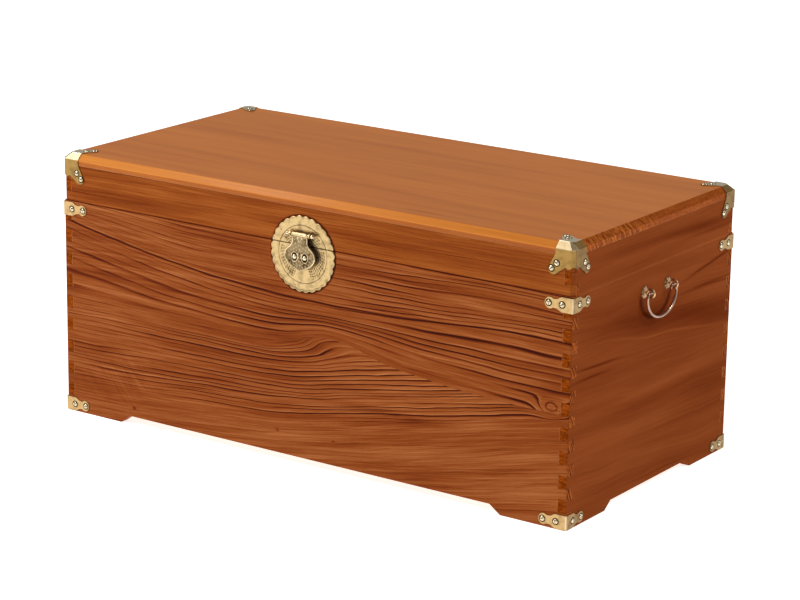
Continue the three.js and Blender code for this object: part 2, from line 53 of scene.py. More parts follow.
class Value:  # a shader socket that can stand in sums
    def __init__(self, recipe, socket):
        self.recipe, self.socket = recipe, socket

    def math(self, operation, *others):
        terms = dict(enumerate((self, *others)))
        return self.recipe.node("Math", {"operation": operation}, terms)

    def __add__(self, other):
        return self.math("ADD", other)

    def __mul__(self, other):
        return self.math("MULTIPLY", other)

    def __sub__(self, other):
        return self.math("SUBTRACT", other)

    def __truediv__(self, other):
        return self.math("DIVIDE", other)

    def __pow__(self, other):
        return self.math("POWER", other)

    def __neg__(self):
        return self.math("MULTIPLY", -1)

    def __rsub__(self, other):
        return self.recipe.node("Math", {"operation": "SUBTRACT"}, {0: other, 1: self})

    def __rtruediv__(self, other):
        return self.recipe.node("Math", {"operation": "DIVIDE"}, {0: other, 1: self})

    __radd__, __rmul__ = __add__, __mul__

    def above(self, other):  # the larger of the two
        return self.math("MAXIMUM", other)

    def below(self, other):
        return self.math("MINIMUM", other)

    def size(self):
        return self.math("ABSOLUTE")

    def bell(self):  # 1 at zero, falling off on both sides
        return (-(self * self)).math("EXPONENT")

    def rise(self, low, high):  # 0 under low, 1 over high
        return self.recipe.node(
            "MapRange", {"interpolation_type": "SMOOTHSTEP"},
            {"Value": self, "From Min": low, "From Max": high},
        )


class Recipe:  # a material and its nodes
    def __init__(self, name):
        self.material = bpy.data.materials.new(name)
        self.material.use_nodes = True
        self.tree = self.material.node_tree
        self.tree.nodes.clear()

    def node(self, kind, settings, values, output=0):
        node = self.tree.nodes.new("ShaderNode" + kind)
        for key, value in settings.items():
            if key == "stops":
                stops = node.color_ramp.elements
                stops.remove(stops[1])
                stops[0].position, stops[0].color = value[0][0], (*value[0][1], 1)
                for place, colour in value[1:]:
                    stops.new(place).color = (*colour, 1)
            else:
                setattr(node, key, value)
        for key, value in values.items():
            if isinstance(value, Value):
                self.tree.links.new(value.socket, node.inputs[key])
            else:
                node.inputs[key].default_value = value
        return Value(self, node.outputs[output]) if node.outputs else None

    def place(self):  # where the point is on the chest, in millimetres
        where = self.node("TexCoord", {}, {}, "Object")
        parts = [self.node("SeparateXYZ", {}, {0: where}, axis) for axis in "XYZ"]
        return parts[0] * 1000, parts[1] * 1000 - chest["shift"], parts[2] * 1000

    def cloud(self, a, b, c=0.0, detail=2.0, rough=0.5):  # soft noise from 0 to 1
        where = self.node("CombineXYZ", {}, {0: a, 1: b, 2: c})
        return self.node("TexNoise", {}, {
            "Vector": where, "Scale": 1.0, "Detail": detail, "Roughness": rough})

    def between(self, first, second, share):
        return self.node(
            "Mix", {"data_type": "RGBA"},
            {0: share, 6: rgba(first), 7: rgba(second)}, 2,
        )

    def choose(self, first, second, share):
        return self.node("Mix", {"data_type": "FLOAT"}, {0: share, 2: first, 3: second})

    def finish(self, colour, roughness, height, fixed):  # height is in millimetres
        bump = self.node("Bump", {}, {"Strength": 1.0, "Distance": 0.001, "Height": height})
        values = {"Base Color": rgba(colour), "Roughness": roughness, "Normal": bump, **fixed}
        shader = self.node("BsdfPrincipled", {}, values)
        self.node("OutputMaterial", {}, {"Surface": shader})
        return self.material


def rgba(colour):
    return (*colour, 1) if isinstance(colour, tuple) and len(colour) == 3 else colour


def tint(red, green, blue):  # from 0 to 255 to the shader's own scale
    return tuple(
        c / 255 / 12.92 if c < 10.3 else ((c / 255 + 0.055) / 1.055) ** 2.4
        for c in (red, green, blue))


# Ramps run from the darkest grain to the palest; the other values are how much each effect adds.
# A look's seam value paints shade and dirt along the lid's seam; below zero it paints a highlight
# there.
woodLook = {
    "boards": {
        "specular": 0.02, "coat": 0.04,
        "ramp": [(0.0, tint(52, 11, 0)), (0.28, tint(94, 31, 1)), (0.55, tint(131, 63, 19)),
                 (0.8, tint(156, 90, 46)), (1.0, tint(184, 114, 64))],
        "tone": 0.6, "cloud": 0.6, "fibre": 0.72, "streak": 0.55, "line": 0.95, "fringe": 0.18,
        "pore": 0.16, "seam": 0.5, "end": 0.04, "torn": 0.6,
    },
    "rails": {
        "specular": 0.02, "coat": 0.04,
        "ramp": [(0.0, tint(52, 11, 0)), (0.28, tint(98, 34, 1)), (0.55, tint(132, 63, 14)),
                 (0.8, tint(156, 86, 32)), (1.0, tint(184, 112, 56))],
        "tone": 0.58, "cloud": 0.6, "fibre": 0.6, "streak": 0.5, "line": 0.22, "fringe": 0.06,
        "pore": 0.16, "seam": 0.5, "end": 0.04, "torn": 0.6,
    },
    "sides": {
        "specular": 0.0, "coat": 0.02,
        "ramp": [(0.0, tint(58, 17, 1)), (0.28, tint(100, 39, 8)), (0.55, tint(129, 62, 25)),
                 (0.8, tint(150, 80, 39)), (1.0, tint(182, 108, 58))],
        "tone": 0.54, "cloud": 0.4, "fibre": 0.2, "streak": 0.12, "line": 0.07, "fringe": 0.03,
        "pore": 0.08, "seam": -0.3, "end": 0.08, "torn": 0.2,
    },
    "top": {
        "specular": 0.02, "coat": 0.26,
        "ramp": [(0.0, tint(92, 34, 4)), (0.3, tint(144, 70, 15)), (0.55, tint(179, 101, 30)),
                 (0.8, tint(198, 118, 40)), (1.0, tint(222, 144, 62))],
        "tone": 0.56, "cloud": 0.3, "fibre": 0.16, "streak": 0.12, "line": 0.1, "fringe": 0.04,
        "pore": 0.08, "seam": 0.0, "end": -0.14, "torn": 0.55,
    },
    "inside": [(0.0, tint(120, 72, 38)), (0.35, tint(176, 124, 80)), (0.65, tint(206, 158, 112)),
               (1.0, tint(226, 186, 142))],
    "endGrain": [(0.0, tint(60, 18, 1)), (0.4, tint(120, 52, 8)), (0.7, tint(152, 72, 18)),
                 (1.0, tint(188, 104, 38))],
    "roughness": 0.42, "coatRoughness": 0.14,
}


# Painted shade and dirt along the seam, and a painted shadow round the lock plate, on the outer
# faces only; a look's seam value below zero paints a highlight along the seam instead.
paintedSeamAndRing = {
    "skin": 1.4, "seamWidth": 1.2,
    "ring": 63.2, "ringWidth": 1.4, "ringFrom": (245, 249), "ringDepth": 0.5,
}


def woodSurface(name, look, figure, insideOf, endOf):
    recipe = Recipe(name)
    x, y, z = recipe.place()
    along, across, through, phase, bold, dark = figure(recipe, x, y, z)
    ring = phase.math("FRACT")
    line = ring.rise(0.22, 0.6) ** 1.6 * (1 - ring.rise(0.6, 0.69))
    fringe = ring.rise(0.62, 0.72) * (1 - ring.rise(0.74, 0.98))  # the pale line after the dark one
    strength = recipe.cloud(phase.math("FLOOR") * 0.73, along / 420).rise(0.36, 0.62)
    fibre = recipe.cloud(along / 90, across / 1.3, through / 9, 3, 0.7)
    streak = recipe.cloud(along / 190, across / 5.5, through / 20, 2, 0.6)
    pore = recipe.cloud(along / 16, across / 0.55, through / 3, 1).rise(0.62, 0.78)
    slow = recipe.cloud(along / 380, across / 30, through / 60, 2)
    force = (strength * 0.85 + 0.15) * bold
    deep = line * force
    skin = paintedSeamAndRing["skin"]
    face = (y.size() - chest["halfDepth"] + skin).rise(0, 0.8)
    face = (face + (x.size() - chest["halfLength"] + skin).rise(0, 0.8)).below(1)
    # painted shade and dirt along the seam; a negative look value paints a highlight there
    seam = ((z - chest["seam"]) / paintedSeamAndRing["seamWidth"]).bell() * face * look["seam"]
    if look["seam"] > 0:
        # painted shadow of the lock plate on the wood round it
        away = (x * x + (z - chest["lockCentre"]) ** 2).math("SQRT")
        ringShadow = ((away - paintedSeamAndRing["ring"]) / paintedSeamAndRing["ringWidth"]).bell()
        seam = seam + ringShadow * (-y).rise(*paintedSeamAndRing["ringFrom"]) * paintedSeamAndRing["ringDepth"]
    tone = (
        look["tone"] + (slow - 0.5) * look["cloud"] + (fibre - 0.5) * look["fibre"]
        + (streak - 0.5) * look["streak"] + fringe * force * look["fringe"]
        - deep * look["line"] - pore * look["pore"] - dark - seam
    )
    varnished = recipe.node("ValToRGB", {"stops": look["ramp"]}, {0: tone})
    speck = recipe.cloud(x / 2.2, y / 2.2, z / 2.2, 4, 0.75)
    band = recipe.cloud(x / 30, y / 30, z / 6, 2)
    end = endOf(recipe, x, y, z)
    tear = recipe.cloud(y / 1.9 + z / 4, x / 12, z / 26, 1).rise(0.38, 0.62)
    calmBack = (y + 40).rise(-60, 90) * (z - chest["panelUnder"] + 1).rise(0, 1) * 0.85
    tear = 0.5 + (tear - 0.5) * (1 - calmBack)
    cut = recipe.node("ValToRGB", {"stops": woodLook["endGrain"]}, {
        0: speck * 1.3 + band * 0.4 - 0.34 - look["end"] + (tear - 0.5) * look["torn"]})
    outside = recipe.between(varnished, cut, end)
    inside = insideOf(x, y, z)
    bareTone = 0.55 + (slow - 0.5) * 0.5 + (fibre - 0.5) * 0.5 - deep * 0.3 - pore * 0.2
    bare = recipe.node("ValToRGB", {"stops": woodLook["inside"]}, {0: bareTone})
    colour = recipe.between(outside, bare, inside)
    rough = woodLook["roughness"] + (fibre - 0.5) * 0.12 + inside * 0.28 + end * 0.15
    height = (fibre - 0.5) * 0.07 - pore * 0.05 - deep * 0.12 + end * (speck - 0.5) * 0.5
    return recipe.finish(colour, rough, height, {
        "Coat Weight": (1 - inside) * look["coat"] * (1 - end * 0.85),
        "Coat Roughness": woodLook["coatRoughness"], "Specular IOR Level": look["specular"],
    })


# Grain that runs straight, with dark streaks given as
# (along, across, half length, half width, slope, depth).
def straightGrain(look, runs, streaks):
    def figure(recipe, x, y, z):
        along, across, through = runs(x, y, z)
        wave = recipe.cloud(
            along / look["waveLength"], across / look["waveWidth"], through / 40, 1)
        bent = across + (wave - 0.5) * look["wave"] - along * look["slope"]
        crowd = recipe.cloud(along / 900, bent / 26, 3.7, 1)
        phase = bent / look["spacing"] + (crowd - 0.5) * look["crowd"]
        bold = recipe.cloud(along / 300, bent / 40, 9.1, 1).rise(0.35, 0.65)
        dark = 0
        for a, b, reach, width, slope, depth in streaks:
            offset = (along - a) / reach
            aside = (bent - b - (along - a) * slope) / width
            dark = dark + depth * (offset.bell() * aside.bell())
        return along, bent, through, phase, bold, dark
    return figure


# A painted shadow of the handle: a dark arc on the end board where the handle hangs against it.
handleShadowArc = {"z": 326, "wide": 47, "tall": 42, "width": 0.1, "fade": (318, 336), "depth": 0.3}


def handleShadowed(figure):
    def shadowed(recipe, x, y, z):
        along, bent, through, phase, bold, dark = figure(recipe, x, y, z)
        arc = ((y / handleShadowArc["wide"]) ** 2 + ((z - handleShadowArc["z"]) / handleShadowArc["tall"]) ** 2)
        arcShadow = ((arc.math("SQRT") - 1) / handleShadowArc["width"]).bell()
        # the arc darkens the wood as a painted shadow of the handle
        dark = dark + arcShadow * (1 - z.rise(*handleShadowArc["fade"])) * handleShadowArc["depth"]
        return along, bent, through, phase, bold, dark
    return shadowed


# The top panel's square edge is painted darker than its face, as painted shade, and the chamfer
# above it paler, as a painted highlight.
topEdge = {
    "chamferFrom": (438.6, 439.6), "faceFrom": (449.2, 449.9), "edgeShade": 0.17, "chamferHighlight": 0.2,
}


def topFigure(recipe, x, y, z):
    along, bent, through, phase, bold, dark = straightGrain(grain["top"], acrossTop, [
        (-330, 47, 120, 5, 0.0, 0.08), (60, -47, 90, 7, -0.02, 0.07),
        (380, -30, 160, 6, 0.0, 0.07), (-310, -152, 110, 6, 0.0, 0.08)])(recipe, x, y, z)
    eased = z.rise(*topEdge["chamferFrom"])
    chamfer = eased * (1 - z.rise(*topEdge["faceFrom"]))
    # painted shade on the square edge, painted highlight on the chamfer
    dark = dark + (1 - eased) * topEdge["edgeShade"] - chamfer * topEdge["chamferHighlight"]
    return along, bent, through, phase, bold, dark


grain = {
    "side": {
        "waveLength": 210, "waveWidth": 70, "wave": 26, "slope": -0.05, "spacing": 9, "crowd": 3},
    "rail": {
        "waveLength": 260, "waveWidth": 30, "wave": 12, "slope": 0.012, "spacing": 6, "crowd": 3},
    "top": {
        "waveLength": 420, "waveWidth": 60, "wave": 18, "slope": -0.02, "spacing": 11, "crowd": 4},
    "back": {
        "waveLength": 300, "waveWidth": 60, "wave": 34, "slope": 0.03, "spacing": 8, "crowd": 5},
}

# The front board's figure: long lines that dip to the middle, a flame, and nested arches
# that point to the right.
front = {
    "boldLine": {
        "middle": 280, "left": 59, "power": 1.9, "right": 17, "rise": (50, 450),
        "width": 1.5, "depth": 0.62, "paleOver": 3.4, "paleWidth": 1.6, "pale": 0.14,
    },
    "spine": {"middle": 201, "left": 6, "right": 18, "fall": (40, 430)},
    "flame": {"x": 55, "z": 228, "height": 23, "left": 80, "right": 130, "reach": 31},
    "arch": {
        "run": (-120, 640), "size": 165, "flatter": (20, 230), "flat": 0.35,
        "open": (-500, 150), "spread": 0.3,
    },
    "ring": 7.6, "upperRings": 8, "topRings": 12, "topFrom": 392, "wander": 9, "crowd": 2.4,
    # (x, z, half length, half height, rings, depth)
    "knots": [(468, 187, 17, 11, 2.3, 0.1), (-352, 30, 7, 5, 0.9, 0.4),
              (-50, 52, 5, 3, 0.8, 0.4), (62, 55, 5, 3, 0.6, 0.3)],
    # (x, z, half length, half height, strength): a patch with few lines, and the flame's shadow
    "plain": (95, 214, 105, 11, 0.8), "flameShade": (-20, 212, 60, 13, 0.12),
    "curl": {"x": -370, "z": 78, "wide": 75, "tall": 45, "step": 8, "run": 45, "depth": 0.32},
    # (x, z, half length, half height, depth)
    "stains": [(-440, 262, 95, 14, 0.16), (-5, 244, 95, 12, 0.14), (480, 240, 36, 55, 0.1),
               (270, 247, 190, 9, 0.12), (150, 122, 100, 7, 0.16), (-240, 214, 120, 8, 0.1),
               (30, 152, 220, 7, 0.08), (330, 140, 70, 22, -0.08), (-300, 350, 120, 7, -0.08)],
}


def spot(a, b, middleA, middleB, halfA, halfB):  # 1 in the middle of a soft oval
    return ((a - middleA) / halfA).bell() * ((b - middleB) / halfB).bell()


def frontFigure(recipe, x, y, z):
    left = (-x).above(0) / chest["halfLength"]
    wander = recipe.cloud(x / 170, z / 40, 1.3, 2) - 0.5
    flame, arch = front["flame"], front["arch"]
    away = x - flame["x"]
    side = away.above(0) / flame["right"] + (-away).above(0) / flame["left"]
    lift = side.bell() * ((z - flame["z"]) / flame["reach"]).bell() * flame["height"]
    level = z - lift + wander * front["wander"]
    bold, middle = front["boldLine"], front["spine"]
    upper = bold["middle"] + bold["left"] * left ** bold["power"]
    upper = upper + bold["right"] * x.rise(*bold["rise"])
    spine = middle["middle"] + middle["left"] * left - x.rise(*middle["fall"]) * middle["right"]
    share = ((level - spine) / (upper - spine)).above(0) ** (1 + left * 0.8)
    topShare = (level - upper) / (front["topFrom"] - upper)
    count = share.below(1) * front["upperRings"] + topShare.above(0) * front["topRings"]
    start = x.rise(*arch["run"]) * arch["size"]
    drop = spine - level
    spread = 1 + x.rise(*arch["open"]) * arch["spread"]
    reach = start * (1 - drop.rise(*arch["flatter"]) * arch["flat"]) + drop * spread
    high = (level - spine).rise(-0.3, 0.3)
    phase = recipe.choose(-reach / front["ring"], count + 40, high)
    over = level - upper
    pale = ((over - bold["paleOver"]) / bold["paleWidth"]).bell() * bold["pale"]
    dark = (over / bold["width"]).bell() * bold["depth"] - pale
    faint = 1
    for knotX, knotZ, wide, tall, rings, depth in front["knots"]:
        near = (((x - knotX) / wide) ** 2 + ((z - knotZ) / tall) ** 2).math("SQRT")
        phase = phase + (near / 1.5).bell() * rings
        dark = dark + (near / 0.5).bell() * depth
        faint = (1 - (near / 1.6).bell() * 0.6) * faint
    for *place, depth in front["stains"]:
        dark = dark + spot(x, level, *place) * depth
    crowd = recipe.cloud(x / 700, phase * 0.31, 5.1, 1)
    phase = phase + (crowd - 0.5) * front["crowd"]
    inArch = (1 - high) * x.rise(-480, 20) * reach.rise(4, 30) * (1 - reach.rise(142, 172))
    dense = high * (1 - share.rise(0.5, 0.95)) * x.rise(-200, 60) * 0.35
    patch = recipe.cloud(x / 260, phase * 0.13, 8.3, 1).rise(0.35, 0.62)
    calm = high * 0.62 + (1 - high) * (0.5 - reach.rise(120, 160) * 0.34)
    weight = (calm * (0.45 + patch * 0.8) + inArch * 0.7 + dense).below(1.3)
    weight = weight * (1 - spot(x, z, *front["plain"][:4]) * front["plain"][4]) * faint
    dark = dark + spot(x, z, *front["flameShade"][:4]) * front["flameShade"][4]
    curl = front["curl"]
    mask = spot(x, z, curl["x"], curl["z"], curl["wide"], curl["tall"])
    ripple = recipe.cloud((x + z * 0.9) / curl["step"], (z - x * 0.5) / curl["run"], 2.2, 1) - 0.5
    dark = dark + ripple * mask * curl["depth"]
    return x, recipe.choose(spine - reach, level, high), y, phase, weight, dark


def insideFrom(axis, plane, towards):  # bare wood past a plane
    def mask(x, y, z):
        value = {"x": x, "y": y, "z": z}[axis]
        past = value - plane if towards > 0 else plane - value
        return past.rise(-0.3, -0.1)
    return mask


def endsAt(axis, plane):  # end grain on the faces at both ends
    def mask(recipe, x, y, z):
        return {"x": x, "y": y}[axis].size().rise(plane - 0.7, plane - 0.3)
    return mask


# Which way the grain runs: along, across and through the board.
def alongX(x, y, z):
    return x, z, y


def alongY(x, y, z):
    return y, z, x


def acrossTop(x, y, z):
    return x, y, z


sideStreaks = [
    (60, 274, 270, 21, -0.08, 0.3), (60, 250, 200, 2.4, -0.08, -0.16), (190, 344, 90, 3, 0.2, 0.3),
    (170, 308, 70, 3, 0.05, 0.24), (215, 305, 50, 2, 0.0, 0.2), (-170, 233, 60, 2.2, 0.0, 0.3),
    (-190, 218, 50, 2.2, 0.05, 0.24), (170, 125, 90, 26, 0.0, 0.12), (-40, 150, 200, 9, 0.05, 0.07),
    (-60, 60, 140, 22, 0.03, -0.06),
]
materials = {
    "front_board": woodSurface(
        "camphorFront", woodLook["boards"], frontFigure,
        insideFrom("y", -innerY, 1), endsAt("x", chest["halfLength"])),
    "back_board": woodSurface(
        "camphorBack", {**woodLook["boards"], "line": 0.5, "streak": 0.4},
        straightGrain(grain["back"], alongX, []),
        insideFrom("y", innerY, -1), endsAt("x", chest["halfLength"])),
    "right_board": woodSurface(
        "camphorRight", woodLook["sides"],
        handleShadowed(straightGrain(grain["side"], alongY, sideStreaks)),
        insideFrom("x", innerX, -1), endsAt("y", chest["halfDepth"])),
    "left_board": woodSurface(
        "camphorLeft", woodLook["sides"],
        handleShadowed(straightGrain(grain["side"], alongY, [
            (60, 180, 150, 20, 0.06, 0.15), (-90, 300, 120, 4, 0.05, 0.2)])),
        insideFrom("x", -innerX, 1), endsAt("y", chest["halfDepth"])),
    "lid_front_rail": woodSurface(
        "camphorFrontRail", woodLook["rails"],
        straightGrain(grain["rail"], alongX, [
            (-330, 388, 130, 9, 0.0, 0.1), (250, 396, 160, 5, 0.01, 0.08)]),
        insideFrom("y", -innerY, 1), endsAt("x", chest["halfLength"])),
    "lid_back_rail": woodSurface(
        "camphorBackRail", woodLook["rails"], straightGrain(grain["rail"], alongX, []),
        insideFrom("y", innerY, -1), endsAt("x", chest["halfLength"])),
    "lid_right_rail": woodSurface(
        "camphorRightRail", woodLook["sides"],
        straightGrain(grain["rail"], alongY, [
            (150, 400, 110, 8, -0.07, 0.28), (190, 386, 70, 4, -0.03, 0.2),
            (-80, 412, 120, 7, 0.0, 0.08)]),
        insideFrom("x", innerX, -1), endsAt("y", chest["halfDepth"])),
    "lid_left_rail": woodSurface(
        "camphorLeftRail", woodLook["sides"], straightGrain(grain["rail"], alongY, []),
        insideFrom("x", -innerX, 1), endsAt("y", chest["halfDepth"])),
    "lid_top_panel": woodSurface(
        "camphorTop", woodLook["top"], topFigure,
        insideFrom("z", chest["panelUnder"], -1), endsAt("x", chest["panelEnd"])),
    "bottom_panel": woodSurface(
        "camphorBottom", woodLook["rails"],
        straightGrain(grain["top"], acrossTop, []),
        insideFrom("z", 0, 1), endsAt("x", 600)),  # its ends are hidden in the grooves
}
print("wood ready")


brassLook = {
    "sheet": {
        "light": (0.52, 0.345, 0.15), "dark": (0.17, 0.095, 0.03), "rough": 0.34, "ends": 0.4},
    "guard": {
        "light": (0.32, 0.19, 0.055), "dark": (0.12, 0.06, 0.018), "rough": 0.34, "ends": 0.42},
    "plate": {"light": (0.54, 0.38, 0.175), "dark": (0.05, 0.024, 0.008), "rough": 0.32},
    "hasp": {"light": (0.72, 0.55, 0.3), "dark": (0.07, 0.035, 0.012), "rough": 0.3},
    "screw": {"light": (0.80, 0.68, 0.45), "dark": (0.03, 0.014, 0.005), "rough": 0.22},
    "eye": {"light": (0.62, 0.38, 0.19), "dark": (0.06, 0.026, 0.008), "rough": 0.26},
    "bail": {"light": (0.42, 0.28, 0.21), "dark": (0.10, 0.05, 0.03), "rough": 0.22},
}


# Painted highlights on the sheet brass: its upright bends, the flaps on the lid and the chamfers
# over the long edges. Past endFace, on the end faces, it gets painted shade by the look's end share.
paintedHighlight = {
    "bendOut": 1.5, "bendAt": 0.6, "bendWidth": 1.4, "flapFrom": 450.9, "flap": 0.8,
    "chamferFrom": 440.5, "chamferDepth": 239.8, "chamfer": 0.3, "endFace": 500.4,
    "colour": (0.95, 0.84, 0.6),
}


# The optional function gives how much darker a point is painted, from 0 to 1, on top of the stains:
# patina in hollows, and painted shade and shadow in slits, slots and round posts.
def brassSurface(name, look, dirtAndShadeOf=None):
    recipe = Recipe(name)
    x, y, z = recipe.place()
    stain = recipe.cloud(x / 11, y / 11, z / 11, 4, 0.65).rise(0.42, 0.7)
    fine = recipe.cloud(x / 1.1, y / 1.1, z / 1.1, 3, 0.6)
    dirtAndShade = stain * 0.4
    if dirtAndShadeOf:
        dirtAndShade = (dirtAndShade + dirtAndShadeOf(x, y, z)).below(1)
    highlight = paintedHighlight
    bend = (chest["halfLength"] + highlight["bendOut"] - x.size()).above(0)
    bend = bend + (chest["halfDepth"] + highlight["bendOut"] - y.size()).above(0)
    # painted highlight on the bends, the flaps and the chamfers
    bright = ((bend - highlight["bendAt"]) / highlight["bendWidth"]).bell()
    bright = bright + (z - highlight["flapFrom"]).rise(0, 0.3) * highlight["flap"]
    over = (z - highlight["chamferFrom"]).rise(0, 0.6)
    chamfer = over * (y.size() - highlight["chamferDepth"]).rise(0, 0.6)
    bright = (bright + chamfer * highlight["chamfer"]).below(1)
    # painted shade on the end faces
    dirtAndShade = (dirtAndShade + (x.size() - highlight["endFace"]).rise(0, 0.4) * look.get("ends", 0)).below(1)
    metal = recipe.between(look["light"], highlight["colour"], bright)
    colour = recipe.between(metal, look["dark"], dirtAndShade * (1 - bright))
    rough = look["rough"] + (fine - 0.5) * 0.14 + dirtAndShade * 0.2
    return recipe.finish(colour, rough, (fine - 0.5) * 0.02, {"Metallic": 1.0})


plateFace = -chest["halfDepth"] - chest["gap"] - chest["sheet"]
pinY = plateFace - 7.5  # the middle of the hasp's rod
post = {"x": 10, "z": 352, "shank": 1.5, "legWidth": 5, "legLength": 14, "legThickness": 1.6}


def plateDirtAndShade(x, y, z):  # patina in the engraving, painted shade along the slit, and a painted shadow of the hasp round the posts
    away = ((x.size() - post["x"]) ** 2 + (z - post["z"]) ** 2).math("SQRT")
    grooves = (y - plateFace).rise(0.02, 0.3) * 0.75
    # patina in the grooves, painted shade along the slit between the halves, painted shadow round
    # the posts
    return grooves + ((z - chest["seam"]) / 1.0).bell() * 0.9 + (away / 9).bell() * 1.4


def haspDirt(x, y, z):
    return (y - pinY + 0.9).rise(-0.3, 0.1) * 0.7


def eyeDarkNearBoard(x, y, z):  # dark close to the end board
    return (1 - (x.size() - 501.1).rise(-0.2, 0.9)) * 0.65


sheetBrass = brassSurface("sheetBrass", brassLook["sheet"])
guardBrass = brassSurface("guardBrass", brassLook["guard"])
plateBrass = brassSurface("plateBrass", brassLook["plate"], plateDirtAndShade)
haspBrass = brassSurface("haspBrass", brassLook["hasp"], haspDirt)
trimBrass = brassSurface("trimBrass", brassLook["screw"])
bailMetal = brassSurface("bailMetal", brassLook["bail"])
eyeBrass = brassSurface("eyeBrass", brassLook["eye"], eyeDarkNearBoard)
print("brass ready")


# Shapes are drawn in millimetres with z pointing out of the chest.
axes = {
    "front": ((1, 0, 0), (0, 0, 1), (0, -1, 0)), "back": ((-1, 0, 0), (0, 0, 1), (0, 1, 0)),
    "right": ((0, 1, 0), (0, 0, 1), (1, 0, 0)), "left": ((0, -1, 0), (0, 0, 1), (-1, 0, 0)),
    "up": ((1, 0, 0), (0, 1, 0), (0, 0, 1)),
}


def facing(side, x, y, z, turn=0.0):
    pointed = Matrix(axes[side]).transposed().to_4x4() @ Matrix.Rotation(turn, 4, "Z")
    place = Matrix.Translation(Vector((x, y + chest["shift"], z)) / 1000)
    return place @ Matrix.Scale(0.001, 4) @ pointed


def meshOf(name, shape):
    bmesh.ops.recalc_face_normals(shape, faces=shape.faces)
    mesh = bpy.data.meshes.new(name)
    shape.to_mesh(mesh)
    shape.free()
    return mesh


def piece(name, shape, material, body, replaced=()):
    dress(name, meshOf(name, shape), material, body, replaced)


def dress(name, data, material, body, replaced=()):
    item = bpy.data.objects.new(name, data)
    bpy.context.scene.collection.objects.link(item)
    data.materials.append(material)
    if hasattr(data, "polygons"):
        data.shade_smooth()
    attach(item, body)
    if replaced:
        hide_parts(*replaced)


def loops(shape, rows, place, capFirst=True, capLast=True):  # skin over loops of points
    made = [[shape.verts.new(place @ Vector(point)) for point in row] for row in rows]
    for first, second in zip(made, made[1:]):
        count = max(len(first), len(second))
        for i in range(count):
            corners = []
            for vert in (first[i % len(first)], first[(i + 1) % len(first)],
                         second[(i + 1) % len(second)], second[i % len(second)]):
                if vert not in corners:
                    corners.append(vert)
            shape.faces.new(corners)
    if capFirst and len(made[0]) > 2:
        shape.faces.new(made[0][::-1])
    if capLast and len(made[-1]) > 2:
        shape.faces.new(made[-1])
    return made


def turned(shape, profile, place, steps=32):  # profile of (radius, height)
    rows = []
    for radius, height in profile:
        if radius == 0:
            rows.append([(0, 0, height)])
        else:
            angles = [2 * math.pi * i / steps for i in range(steps)]
            rows.append([(radius * math.cos(a), radius * math.sin(a), height) for a in angles])
    return loops(shape, rows, place)


def ringOf(shape, radius, wire, place, steps=40, sides=14):
    rows = []
    for i in range(steps + 1):
        angle, row = 2 * math.pi * i / steps, []
        for j in range(sides):
            turn = 2 * math.pi * j / sides
            out = radius + wire * math.cos(turn)
            row.append((out * math.cos(angle), out * math.sin(angle), wire * math.sin(turn)))
        rows.append(row)
    loops(shape, rows, place, False, False)
    bmesh.ops.remove_doubles(shape, verts=shape.verts, dist=1e-7)


def bar(shape, width, height, thickness, place, ease=0.5):  # flat bar with eased edges
    rows, c = [], ease * 1.5
    for inset, level in ((ease, 0), (0, ease), (0, thickness - ease), (ease, thickness)):
        a, b = width / 2 - inset, height / 2 - inset
        corners = [(a - c, -b), (a, -b + c), (a, b - c), (a - c, b),
                   (-a + c, b), (-a, b - c), (-a, -b + c), (-a + c, -b)]
        rows.append([(*corner, level) for corner in corners])
    loops(shape, rows, place)


lock = {
    "radius": 60.6, "scallops": 28, "rise": 2.5, "perScallop": 14, "step": 0.75,
    "slit": 0.45, "ring": 47.4, "fanInner": 19, "fanOuter": 44.5, "grooveDepth": 0.3,
}


def engraving(x, z):  # depth of the engraving at a place on the plate, 0 to 1
    radius = math.hypot(x, z)
    angle = math.degrees(math.atan2(z, abs(x)))
    depth = max(0.0, 1.4 - abs(radius - lock["ring"]) / 0.6)
    if radius < lock["fanOuter"] and (-66 < angle < 14 or 30 < angle < 66):
        inner = lock["fanInner"] + (8 if angle > 0 else 0)
        if radius > inner:
            edge = min(radius - inner, lock["fanOuter"] - radius)
            scroll = math.sin(radius * 1.5 + math.sin(math.radians(angle * 9)) * 2.2)
            veins = math.sin(math.radians(angle * 50 + radius * 22))
            grit = noise.noise(Vector((x * 1.6, z * 1.6, 2.0)))
            field = 0.42 + 0.25 * scroll + 0.22 * veins + 0.45 * grit
            depth = max(depth, min(1, edge / 1.2) * min(1, max(0.0, field)))
    return depth


def plateHeight(share, x, z):  # share runs from 0 to 1 over the raised rim
    level = chest["sheet"]
    if share:
        level += 0.7 * math.exp(-((share - 0.85) / 0.15) ** 2)
        if share > 0.9:
            fall = 1 - math.sqrt(max(0.0, 1 - ((share - 0.9) / 0.1) ** 2))
            level -= (chest["sheet"] + 0.2) * fall
    return level - lock["grooveDepth"] * min(1, engraving(x, z))


def lockPlate():
    around, per = lock["scallops"] * lock["perScallop"], lock["perScallop"]
    lobes = [math.sin(math.pi * (i % per / per)) for i in range(around)]
    edge = [lock["radius"] + lock["rise"] * lobe for lobe in lobes]
    flat = [lock["step"] * k for k in range(1, 70)]
    shares = (0.15, 0.3, 0.45, 0.6, 0.7, 0.78, 0.84, 0.88, 0.91, 0.94, 0.965, 0.985, 1.0)
    last, rows = flat[-1], [[(0, 0, chest["sheet"])]]
    for radius, share in [(radius, 0) for radius in flat] + [(last, share) for share in shares]:
        row = []
        for i in range(around):
            angle, out = 2 * math.pi * i / around, radius + (edge[i] - radius) * share
            x, z = out * math.cos(angle), out * math.sin(angle)
            row.append((x, z, plateHeight(share, x, z)))
        rows.append(row)
    rows.append([(x, z, 0) for x, z, _ in rows[-1]])
    shape = bmesh.new()
    back = -chest["halfDepth"] - chest["gap"]
    loops(shape, rows, facing("front", 0, back, chest["lockCentre"]))
    return shape


